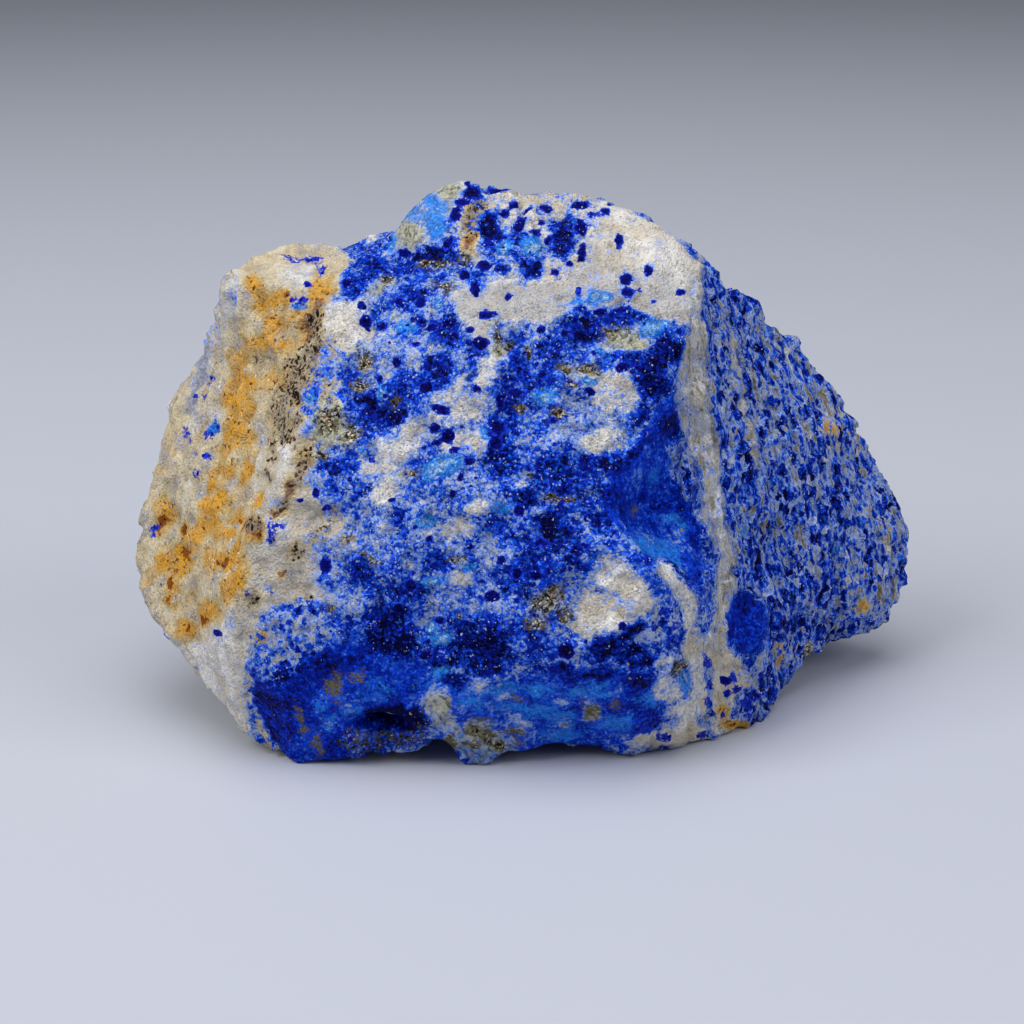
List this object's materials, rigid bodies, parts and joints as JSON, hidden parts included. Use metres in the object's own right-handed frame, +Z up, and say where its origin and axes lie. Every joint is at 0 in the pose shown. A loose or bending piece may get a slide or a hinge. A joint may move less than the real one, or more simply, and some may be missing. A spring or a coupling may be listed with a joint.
{
  "type": "raw lapis lazuli",
  "caption": "Raw lump of lapis lazuli: rough blue rock with white calcite patches, an iron-stained rind and a speckled, layered flank.",
  "frame": {"origin": "middle of the footprint, on the surface that the stone rests on", "axes": "+X from the iron-stained rind to the layered flank, +Y away from the broad broken face, +Z up"},
  "size_m": [0.1182, 0.069, 0.0779],
  "materials": {
    "lapis_lazuli": "rough broken rock, sugary grain"
  },
  "bodies": {
    "root": {"lapis_lump": "lapis_lazuli"}
  },
  "joints": []
}
